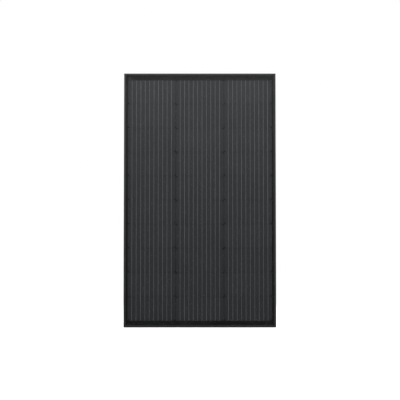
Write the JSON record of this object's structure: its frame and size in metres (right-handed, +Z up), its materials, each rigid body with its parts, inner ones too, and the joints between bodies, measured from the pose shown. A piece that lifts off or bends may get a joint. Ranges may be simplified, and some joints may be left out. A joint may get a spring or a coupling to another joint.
{
  "type": "solar panel",
  "caption": "Flat framed panel of dark half-cut cells behind glass that turns sunlight into current, with a lidded junction box on its rear.",
  "frame": {"origin": "middle of the rear plane of the frame's flanges, where the mounting rails meet it", "axes": "+X to the right seen from the front, +Y out of the rear, +Z up; the glass faces -Y"},
  "size_m": [0.58, 0.03, 0.97],
  "materials": {
    "frame": "black anodised, satin",
    "corner_key": "bare die-cast",
    "edge_seal": "black silicone",
    "glass": "clear tempered, anti-reflection coated",
    "encapsulant": "clear film",
    "cell": "dark blue-black coated silicon with tinned ribbons",
    "bus": "tinned copper",
    "black_film": "matte black film",
    "backsheet": "satin black film",
    "adhesive": "black silicone",
    "box": "moulded, fine texture",
    "gasket": "matte",
    "terminal": "tinned copper, folded",
    "diode": "moulded resin",
    "gland": "moulded"
  },
  "bodies": {
    "panel": {"frame_left": "frame", "frame_right": "frame", "frame_top": "frame", "frame_bottom": "frame", "corner_key_top_left": "corner_key", "corner_key_top_right": "corner_key", "corner_key_bottom_left": "corner_key", "corner_key_bottom_right": "corner_key", "edge_seal_left": "edge_seal", "edge_seal_right": "edge_seal", "edge_seal_top": "edge_seal", "edge_seal_bottom": "edge_seal", "front_glass": "glass", "front_encapsulant": "encapsulant", "rear_encapsulant": "encapsulant", "cell_string_1": "cell", "cell_string_2": "cell", "cell_string_3": "cell", "bus_top_left": "bus", "bus_top_right": "bus", "bus_bottom_left": "bus", "bus_bottom_right": "bus", "lead_positive": "bus", "lead_middle": "bus", "lead_return": "bus", "bus_cover_top": "black_film", "bus_cover_bottom": "black_film", "insulating_sheet": "black_film", "return_insulator": "black_film", "backsheet": "backsheet", "junction_box_adhesive": "adhesive", "junction_box_base": "box", "gland_seal_left": "gasket", "gland_seal_right": "gasket", "terminal_positive": "terminal", "terminal_middle": "terminal", "terminal_return": "terminal", "bypass_diode_1": "diode", "bypass_diode_2": "diode", "gland_body_left": "gland", "gland_body_right": "gland", "gland_nut_left": "gland", "gland_nut_right": "gland"},
    "lid": {"junction_box_lid": "box", "lid_gasket": "gasket"}
  },
  "joints": [
    {"name": "lid_hinge", "type": "hinge", "parent": "panel", "child": "lid", "pos_m": [0, -0.0081, 0.4], "axis": [1, 0, 0], "range_deg": [0, 110]}
  ]
}
